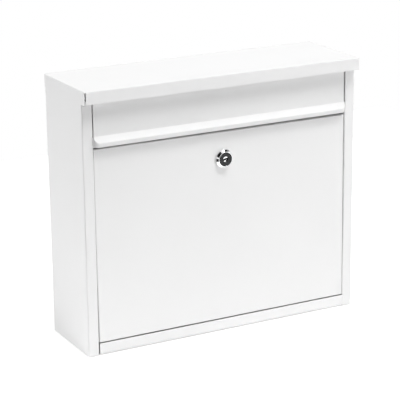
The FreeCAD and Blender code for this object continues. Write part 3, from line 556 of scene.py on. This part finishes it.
# The door: a flat pan folded back on its four sides, hung on two rivets at its lower corners. Like the real
# one it is a hair out of square: its left slit closes upwards, its right slit and the slit above it open.

door_half = 165.8 * mm
door_low = 15.4 * mm
door_high = 247.1 * mm
door_fold = 1.0 * mm
door_pivot = 4.1 * mm
door_levels = 10
door_drop = 1.2 * mm
door_lift = 0.12 * mm
left_close = 0.97 * mm
left_flare = 1.35 * mm
flare_power = 2.5
right_open = 0.95 * mm
right_close = 0.2 * mm
lock_z = 214.0 * mm
lock_hole_round = 18.2 * mm
lock_hole_flats = 16.2 * mm
lock_place = Matrix.Translation((0, front, lock_z)) @ along_wall.to_matrix().to_4x4()


def barrel_outline(diameter, flats, steps=16):
    """Round with two flats at its sides."""
    corner = math.acos(flats / diameter)
    outline = []
    for side in (0, 1):
        for step in range(steps + 1):
            angle = corner + side * math.pi + (math.pi - 2 * corner) * step / steps
            outline.append((diameter / 2 * math.cos(angle), diameter / 2 * math.sin(angle)))
    return outline


def prism(outline, low, high, place):
    """A flat outline, given depth from one height to another."""
    shape = bmesh.new()
    cap = shape.faces.new([shape.verts.new((x, y, low)) for x, y in outline])
    grown = bmesh.ops.extrude_face_region(shape, geom=[cap])
    moved = [item for item in grown["geom"] if isinstance(item, bmesh.types.BMVert)]
    bmesh.ops.translate(shape, verts=moved, vec=(0, 0, high - low))
    bmesh.ops.recalc_face_normals(shape, faces=shape.faces)
    bmesh.ops.transform(shape, matrix=place, verts=shape.verts)
    return as_mesh(shape, "prism")


door_skin = folded_pan((-door_half, front, door_low), (door_half, front + return_depth, door_high), door_fold,
                       [(0, 1, 0)], lambda middle: middle.y < front + 0.1 * mm)
door_shape = as_shape(settle(door_skin, thicken))
for step in range(1, door_levels):
    level = door_low + (door_high - door_low) * step / door_levels
    cut_across(door_shape, (0, 0, level), (0, 0, 1))
for vertex in door_shape.verts:
    up = (vertex.co.z - door_low) / (door_high - door_low)
    across = (vertex.co.x + door_half) / (2 * door_half)
    left_shift = left_close - left_flare * (1 - up) ** flare_power
    right_shift = right_open * up - right_close
    vertex.co.x -= left_shift * (1 - across) + right_shift * across
    vertex.co.z += door_lift * (1 - up) - door_drop * up * across
lock_hole = prism(barrel_outline(lock_hole_round, lock_hole_flats), -4 * mm, 4 * mm, lock_place)
through_door = 2 * (door_half + 2 * mm)
door_mesh = settle(as_mesh(door_shape, "door_pan"), cut_with(lock_hole),
                   punch(door_pivot, through_door, (0, hinge_y, hinge_z), along_box))
door_mesh = settle(door_mesh, soften(raw_edge, 60))
new_piece("door_pan", door_mesh, "door", powder_coat, "door")

# The door's rivets: turned steel pins with two rounded heads, zinc plated, through the stile returns and the
# sides of the door. The door swings on their shanks.


def rounded(corners, steps=4):
    """An outline whose corners are rounded: each corner is x, y and the radius there."""
    outline = []
    for step, (x, y, radius) in enumerate(corners):
        here = Vector((x, y))
        if radius == 0:
            outline.append(here)
            continue
        back = (Vector(corners[step - 1][:2]) - here).normalized()
        ahead = (Vector(corners[(step + 1) % len(corners)][:2]) - here).normalized()
        half = back.angle(ahead) / 2
        reach = radius / math.tan(half)
        middle = here + (back + ahead).normalized() * radius / math.sin(half)
        first = here + back * reach - middle
        last = here + ahead * reach - middle
        sweep = first.angle_signed(last)
        for part in range(steps + 1):
            turn = Matrix.Rotation(-sweep * part / steps, 2)
            outline.append(middle + turn @ first)
    return outline


rivet_head = 4.0 * mm
rivet_shank = 2.0 * mm
rivet_neck = -2.4 * mm
rivet_inner = rivet_neck - 1.1 * mm
rivet_outer = 2.2 * mm
rivet_outline = rounded([
    (0, rivet_inner, 0), (rivet_head, rivet_inner, 1.0 * mm), (rivet_head, rivet_neck, 0),
    (rivet_shank, rivet_neck, 0), (rivet_shank, gauge, 0), (rivet_head, gauge, 0),
    (rivet_head, rivet_outer, 1.2 * mm), (0, rivet_outer, 0)])
for side, sign in (("left", -1), ("right", 1)):
    rivet_axis = Matrix.Translation((sign * half_opening, hinge_y, hinge_z))
    rivet_axis = rivet_axis @ Matrix.Rotation(sign * math.radians(90), 4, "Y")
    new_piece(f"door_rivet_{side}", turned(rivet_outline, rivet_axis, 40), "box", zinc,
              f"door_hinge_pin_{side}")

# The lock's housing: a chromed zinc casting. Its collar slopes up from the door in one polished cone, and
# behind the door it is a threaded barrel with two flats. A lug on the barrel's end stops the plug after a
# quarter turn.

chrome = new_finish("collar_chrome", 1, (200, 2, (0.84, 0.84, 0.85), (0.9, 0.9, 0.91)),
                    (500, 3, 0.05, 0.12), (900, 2, 0.003 * mm))


def in_mm(*corners):
    """Corners that are written in millimetres."""
    return [tuple(size * mm for size in corner) for corner in corners]


barrel_half = 8 * mm
barrel_start = -0.1 * mm
collar_outline = rounded(in_mm(
    (5.3, -15.9, 0), (8.35, -15.9, 0.3), (8.35, 0, 0), (11.25, 0, 0.15), (11.25, 1.8, 0.5),
    (8.9, 4.2, 0.4), (8.45, 4.2, 0.1), (8.45, 1.7, 0), (5.3, 1.7, 0)), 6)
collar_mesh = turned(collar_outline, lock_place, 96)
lock_inverse = lock_place.inverted()
for vertex in collar_mesh.vertices:
    local = lock_inverse @ vertex.co
    if local.z < barrel_start:
        local.x = max(-barrel_half, min(barrel_half, local.x))
        vertex.co = lock_place @ local

# The thread runs along a spiral and is pressed in where the barrel has its flats.
thread_tree, thread_sizes = new_tree("barrel_thread", [
    ("Radius", "Float"), ("Pitch", "Float"), ("Length", "Float"), ("Depth", "Float"), ("Flats", "Float"),
    ("Turn", "Rotation"), ("Place", "Vector"), ("Material", "Material")])
thread_turns = calculate(thread_tree, "DIVIDE", thread_sizes["Length"], thread_sizes["Pitch"])
thread_spiral = add_node(thread_tree, "GeometryNodeCurveSpiral", Resolution=48, Rotations=thread_turns,
                         Start_Radius=thread_sizes["Radius"], End_Radius=thread_sizes["Radius"],
                         Height=thread_sizes["Length"])
thread_upright = add_node(thread_tree, "GeometryNodeSetCurveNormal", {"mode": "Z_UP"},
                          Curve=thread_spiral.outputs["Curve"])
thread_section = add_node(thread_tree, "GeometryNodeCurvePrimitiveCircle", Resolution=4,
                          Radius=thread_sizes["Depth"])
thread_sweep = add_node(thread_tree, "GeometryNodeCurveToMesh", Curve=thread_upright.outputs["Curve"],
                        Profile_Curve=thread_section.outputs["Curve"], Fill_Caps=True)
thread_where = add_node(thread_tree, "GeometryNodeInputPosition")
thread_split = add_node(thread_tree, "ShaderNodeSeparateXYZ", Vector=thread_where.outputs["Position"])
thread_other_flat = calculate(thread_tree, "MULTIPLY", thread_sizes["Flats"], -1)
thread_flat = add_node(thread_tree, "ShaderNodeClamp", Value=thread_split.outputs["X"],
                       Min=thread_other_flat, Max=thread_sizes["Flats"])
thread_join = add_node(thread_tree, "ShaderNodeCombineXYZ", X=thread_flat.outputs["Result"],
                       Y=thread_split.outputs["Y"], Z=thread_split.outputs["Z"])
thread_pressed = add_node(thread_tree, "GeometryNodeSetPosition", Geometry=thread_sweep.outputs["Mesh"],
                          Position=thread_join.outputs["Vector"])
thread_placed = set_in_place(thread_tree, thread_pressed.outputs["Geometry"], thread_sizes)
finish_tree(thread_tree, thread_placed, thread_sizes)
thread_mesh = settle(bpy.data.meshes.new("thread"), run_tree(
    thread_tree, radius=8.45 * mm, pitch=1.0 * mm, length=14.4 * mm, depth=0.5 * mm, flats=barrel_half,
    turn=along_wall, place=(0, front + 15.4 * mm, lock_z), material=chrome))

lug_steps = 12
lug_start = 258
lug_step = 2
lug_outline = []
for radius, order in ((6.5 * mm, range(lug_steps + 1)), (8.8 * mm, range(lug_steps, -1, -1))):
    for step in order:
        angle = math.radians(lug_start + lug_step * step)
        lug_outline.append((radius * math.cos(angle), radius * math.sin(angle)))
lug_mesh = prism(lug_outline, -17.2 * mm, -15.5 * mm, lock_place)
housing_mesh = as_mesh(as_shape(collar_mesh, thread_mesh, lug_mesh), "lock_collar")
new_piece("lock_collar", housing_mesh, "door", chrome, "lock_housing")

# The lock nut: a thin hexagon nut of zinc plated steel, with chamfers turned on both faces. It is screwed
# on the barrel and holds the housing against the inside of the door.


def hexagon(across_flats, low, high, bore, place, chamfer):
    """A hexagon with turned chamfers, bored through where a bore is given."""
    corner = across_flats / math.sqrt(3)
    outline = [(corner * math.cos(math.radians(60 * step)), corner * math.sin(math.radians(60 * step)))
               for step in range(6)]
    face = across_flats / 2 * 0.97
    past_corner = corner * 1.02
    disc = [(bore, low), (face, low), (past_corner, low + chamfer), (past_corner, high - chamfer),
            (face, high), (bore, high)]
    blank = prism(outline, low - mm, high + mm, place)
    return settle(blank, cut_with(turned(disc, place, 60), "INTERSECT"))


nut_mesh = hexagon(22 * mm, -4.8 * mm, -0.8 * mm, 9.0 * mm, lock_place, 0.7 * mm)
new_piece("barrel_nut", nut_mesh, "door", zinc, "lock_nut")

# The lock's plug: turned brass with fine turning rings on its face and a polished chrome dish round the key
# slot. The rest of it is coloured near-black metal, a painted dark reflection of its chrome face. Its square
# tail carries the stop washer and the cam.

# Near-black metal for the plug: a painted dark reflection; its turning rings are a real bump.
painted_dark_face = new_finish("plug_dark_nickel", 1,
                         (300, 3, (0.027, 0.027, 0.028), (0.046, 0.046, 0.047)), (900, 3, 0.14, 0.26))
dark_face_tree = painted_dark_face.node_tree
dark_face_place = add_node(dark_face_tree, "ShaderNodeTexCoord")
dark_face_centred = add_node(dark_face_tree, "ShaderNodeMapping", Vector=dark_face_place.outputs["Object"],
                          Location=(0, 0, -lock_z))
dark_face_rings = add_node(dark_face_tree, "ShaderNodeTexWave", {"wave_type": "RINGS", "rings_direction": "Y"},
                        Vector=dark_face_centred.outputs["Vector"], Scale=1250, Distortion=2.0, Detail=2.0)
add_bump(dark_face_tree, dark_face_tree.nodes["Principled BSDF"], dark_face_rings.outputs["Fac"], 0.002 * mm)

plug_top = 3.95
dish_floor = plug_top - 0.9
plug_outline = rounded(in_mm(
    (0, -16.05, 0), (5.25, -16.05, 0.3), (5.25, 1.75, 0), (8.4, 1.75, 0), (8.4, plug_top, 0.3),
    (3.2, plug_top, 0.15), (1.6, dish_floor, 0.15), (0, dish_floor, 0)))
plug_body = turned(plug_outline, lock_place, 96)
plug_face = plug_top * mm
slot_turn = Matrix.Rotation(math.radians(12), 4, "Z")
slot_depth = 9 * mm
slot_outline = in_mm((-3.5, -1.1), (3.5, -1.1), (3.5, 1.1), (-3.5, 1.1))
slot_mesh = prism(slot_outline, plug_face - slot_depth, plug_face + mm, lock_place @ slot_turn)
tail_half = 3.5 * mm
tail_mesh = block((-tail_half, front + 16 * mm, lock_z - tail_half),
                  (tail_half, front + 19.15 * mm, lock_z + tail_half))
plug_mesh = as_mesh(as_shape(settle(plug_body, cut_with(slot_mesh)), settle(tail_mesh, soften(0.3 * mm))),
                    "key_plug")
plug_mesh.materials.clear()
plug_mesh.materials.append(painted_dark_face)
plug_mesh.materials.append(chrome)
# Faces in the dish take chrome; all other faces of the plug take the painted dark reflection.
dish_radius = 3.15 * mm
for face in plug_mesh.polygons:
    middle = lock_inverse @ face.center
    facing = lock_inverse.to_3x3() @ face.normal
    at_dish_height = plug_face - mm < middle.z < plug_face - 0.05 * mm
    in_dish = math.hypot(middle.x, middle.y) < dish_radius and at_dish_height
    face.material_index = int(in_dish and facing.z > 0.3)
new_piece("key_plug", plug_mesh, "lock", None, "lock_plug")

# Stop washer and cam: stamped plates of plated steel on the plug's square tail. The washer's gap runs round
# the barrel's lug; the cam points aside while the door is free and turns up behind the cross rail.

stamped_edge = 0.18 * mm
for node, name in (("lock_stop_washer", "stop_washer"), ("lock_cam", "catch_cam")):
    plate_mesh = settle(merged_copy(node), soften(stamped_edge))
    new_piece(name, plate_mesh, "lock", zinc, node)

# Spring washer and cam screw: a split ring of spring steel with a slight lift, and a hexagon screw, both
# zinc plated. The screw goes into the plug's tail and holds the cam on its square.

stack_end = -19.25 * mm
ring_section = in_mm((2.6, 0), (4.6, 0), (4.6, -0.95), (2.6, -0.95))
ring_steps = 56
ring_gap = math.radians(9)
ring_lift = -0.25 * mm
ring_edge = 0.12 * mm
ring_shape = bmesh.new()
sections = []
for step in range(ring_steps + 1):
    angle = ring_gap + (2 * math.pi - 2 * ring_gap) * step / ring_steps
    base = stack_end + ring_lift * step / ring_steps
    sections.append([ring_shape.verts.new((radius * math.cos(angle), radius * math.sin(angle), base + height))
                     for radius, height in ring_section])
for section, following in zip(sections, sections[1:]):
    for step in range(4):
        nearby = (step + 1) % 4
        ring_shape.faces.new((section[step], following[step], following[nearby], section[nearby]))
ring_shape.faces.new(sections[0])
ring_shape.faces.new(sections[-1])
bmesh.ops.recalc_face_normals(ring_shape, faces=ring_shape.faces)
bmesh.ops.transform(ring_shape, matrix=lock_place, verts=ring_shape.verts)
ring_mesh = settle(as_mesh(ring_shape, "spring_ring"), soften(ring_edge))
new_piece("spring_ring", ring_mesh, "lock", zinc, "cam_washer")

screw_seat = stack_end - 1.2 * mm
screw_radius = 2.5 * mm
screw_end = screw_seat + 9 * mm
screw_chamfer = 0.4 * mm
screw_head = hexagon(8 * mm, screw_seat - 3.5 * mm, screw_seat, 0, lock_place, 0.5 * mm)
screw_root = screw_seat - mm
screw_outline = [(0, screw_root), (screw_radius, screw_root), (screw_radius, screw_end - screw_chamfer),
                 (screw_radius - screw_chamfer, screw_end), (0, screw_end)]
screw_mesh = as_mesh(as_shape(screw_head, turned(screw_outline, lock_place, 36)), "cam_bolt")
new_piece("cam_bolt", screw_mesh, "lock", zinc, "cam_screw")

# The studio: white floor and surroundings, soft boxes above, behind and at the left, two small fills, a key
# light, and a lamp that shows only as sheen. Dark cards stand round the lock for its chrome to mirror. The
# camera is at the left, a little above, with a long lens.

floor_reach = 0.8
floor_z = -0.8 * mm
floor_mesh = bpy.data.meshes.new("studio_floor")
floor_corners = [(x * floor_reach, y * floor_reach, floor_z) for x, y in ((-1, -1), (1, -1), (1, 1), (-1, 1))]
floor_mesh.from_pydata(floor_corners, [], [(0, 1, 2, 3)])
floor = bpy.data.objects.new("studio_floor", floor_mesh)
bpy.context.scene.collection.objects.link(floor)


def looked_at(tree):
    """1 for rays from the camera, or by way of metal or glass, and 0 for light on its way to the part."""
    path = add_node(tree, "ShaderNodeLightPath").outputs
    mirrored = calculate(tree, "MAXIMUM", path["Is Glossy Ray"], path["Is Transmission Ray"])
    return calculate(tree, "MAXIMUM", path["Is Camera Ray"], mirrored)


# The floor's own glow lifts it to white; ambient occlusion dims the glow in the narrow gap right under the
# part, a painted contact shadow.
floor_glow = 0.6
contact_gap = 5 * mm
floor_white, floor_shader = new_material("floor_white")
floor_mesh.materials.append(floor_white)
floor_tree = floor_white.node_tree
floor_shader.inputs["Base Color"].default_value = (0.9, 0.9, 0.9, 1)
floor_shader.inputs["Roughness"].default_value = 0.9
floor_near = add_node(floor_tree, "ShaderNodeAmbientOcclusion", {"samples": 8}, Distance=contact_gap)
painted_contact_shadow = add_node(floor_tree, "ShaderNodeMapRange", Value=floor_near.outputs["AO"], To_Min=0.75,
                         To_Max=1.0)
floor_shade = calculate(floor_tree, "MULTIPLY", looked_at(floor_tree), painted_contact_shadow.outputs["Result"])
floor_light = add_node(floor_tree, "ShaderNodeEmission", Color=(1, 1, 1, 1),
                       Strength=calculate(floor_tree, "MULTIPLY", floor_shade, floor_glow))
floor_sum = add_node(floor_tree, "ShaderNodeAddShader")
feed(floor_tree, floor_sum.inputs[0], floor_shader.outputs["BSDF"])
feed(floor_tree, floor_sum.inputs[1], floor_light.outputs["Emission"])
feed(floor_tree, floor_tree.nodes["Material Output"].inputs["Surface"], floor_sum.outputs["Shader"])

world = bpy.data.worlds.new("studio_surroundings")
bpy.context.scene.world = world
world.use_nodes = True
world_tree = world.node_tree
surround = world_tree.nodes["Background"]
surround.inputs["Color"].default_value = (1, 1, 1, 1)
feed(world_tree, surround.inputs["Strength"], looked_at(world_tree))


def add_soft_light(name, place, aim, size, power, glossy=True, diffuse=True):
    """A rectangular soft box at a place, turned towards an aim. It can stay out of gloss or out of shade."""
    lamp = bpy.data.lights.new(name, "AREA")
    lamp.shape = "RECTANGLE"
    lamp.size, lamp.size_y = size
    lamp.energy = power
    light = bpy.data.objects.new(name, lamp)
    light.location = place
    light.rotation_mode = "QUATERNION"
    light.rotation_quaternion = (Vector(aim) - Vector(place)).to_track_quat("-Z", "Y")
    light.visible_glossy = glossy
    light.visible_diffuse = diffuse
    bpy.context.scene.collection.objects.link(light)


box_middle = (0, 0, 0.16)
box_foot = (0, 0.1, 0)
add_soft_light("soft_box_above", (0.9, -1.2, 3.6), box_middle, (1.6, 1.2), 99.2, glossy=False)
add_soft_light("soft_box_behind", (0.1, 0.4, 1.7), box_foot, (1.4, 0.9), 2.9, glossy=False)
add_soft_light("soft_box_left", (-3.0, 1.5, 1.6), box_middle, (2.0, 2.0), 79.1)
add_soft_light("fill_right", (0.75, -0.8, 0.35), box_middle, (0.5, 0.5), 2.6)
add_soft_light("fill_low_left", (-0.7, -1.3, 0.15), box_middle, (0.4, 0.3), 3.5, glossy=False)
add_soft_light("key_light", (1.0, -2.0, 3.4), box_middle, (0.5, 0.5), 15.2)
add_soft_light("sheen_light", (0.9, -1.2, 3.6), box_middle, (0.4, 0.4), 74.0, diffuse=False)


def card_paper(name, grey):
    """Matt paper for a card."""
    paper, shader = new_material(name)
    shader.inputs["Base Color"].default_value = (grey, grey, grey, 1)
    shader.inputs["Roughness"].default_value = 1
    return paper


card_black = card_paper("card_black", 0.01)
card_grey = card_paper("card_grey", 0.3)


def add_card(name, direction, distance, along, length, breadth, paper):
    """A dark card of the studio, out in a direction from the lock and seen only as a reflection in it."""
    away = Vector(direction).normalized()
    side = (Vector(along) - away * away.dot(Vector(along))).normalized()
    up = away.cross(side)
    place = Vector((0, front, lock_z)) + away * distance
    corners = [place + side * length / 2 * across + up * breadth / 2 * upwards
               for across, upwards in ((-1, -1), (1, -1), (1, 1), (-1, 1))]
    mesh = bpy.data.meshes.new(name)
    mesh.from_pydata(corners, [], [(0, 1, 2, 3)])
    mesh.materials.append(paper)
    card = bpy.data.objects.new(name, mesh)
    card.visible_camera = False
    card.visible_diffuse = False
    card.visible_transmission = False
    card.visible_shadow = False
    bpy.context.scene.collection.objects.link(card)


add_card("card_upper_left", (-0.62, -0.49, 0.61), 1.2, (0.61, 0.05, 0.64), 1.25, 0.8, card_black)
add_card("card_camera", (-0.18, -0.9, 0.32), 1.1, (0.75, 0.1, 0.6), 1.4, 0.7, card_black)
add_card("card_left", (-0.82, -0.36, -0.37), 0.42, (0, 0, 1), 0.3, 0.4, card_black)
add_card("card_upper_right", (0.65, -0.22, 0.73), 1.0, (0.71, 0.3, -0.59), 0.7, 0.6, card_black)
add_card("card_right", (0.9, -0.1, 0.3), 1.0, (0, 0, 1), 0.4, 0.5, card_grey)

camera_azimuth = math.radians(-27.895)
camera_elevation = math.radians(16.868)
camera_roll = -0.0111
camera_distance = 2.01971
camera_target = Vector((-0.00588, 0.00445, 0.15111))
camera_back = Vector((math.sin(camera_azimuth) * math.cos(camera_elevation),
                      -math.cos(camera_azimuth) * math.cos(camera_elevation),
                      math.sin(camera_elevation)))
camera_data = bpy.data.cameras.new("studio_camera")
camera_data.lens = 151.01
camera_data.sensor_width = 36.0
camera = bpy.data.objects.new("studio_camera", camera_data)
camera.location = camera_target + camera_back * camera_distance
camera.rotation_mode = "QUATERNION"
camera_upright = (-camera_back).to_track_quat("-Z", "Y")
camera.rotation_quaternion = camera_upright @ Quaternion((0, 0, 1), camera_roll)
bpy.context.scene.collection.objects.link(camera)
bpy.context.scene.camera = camera
bpy.context.scene.view_settings.view_transform = "Standard"
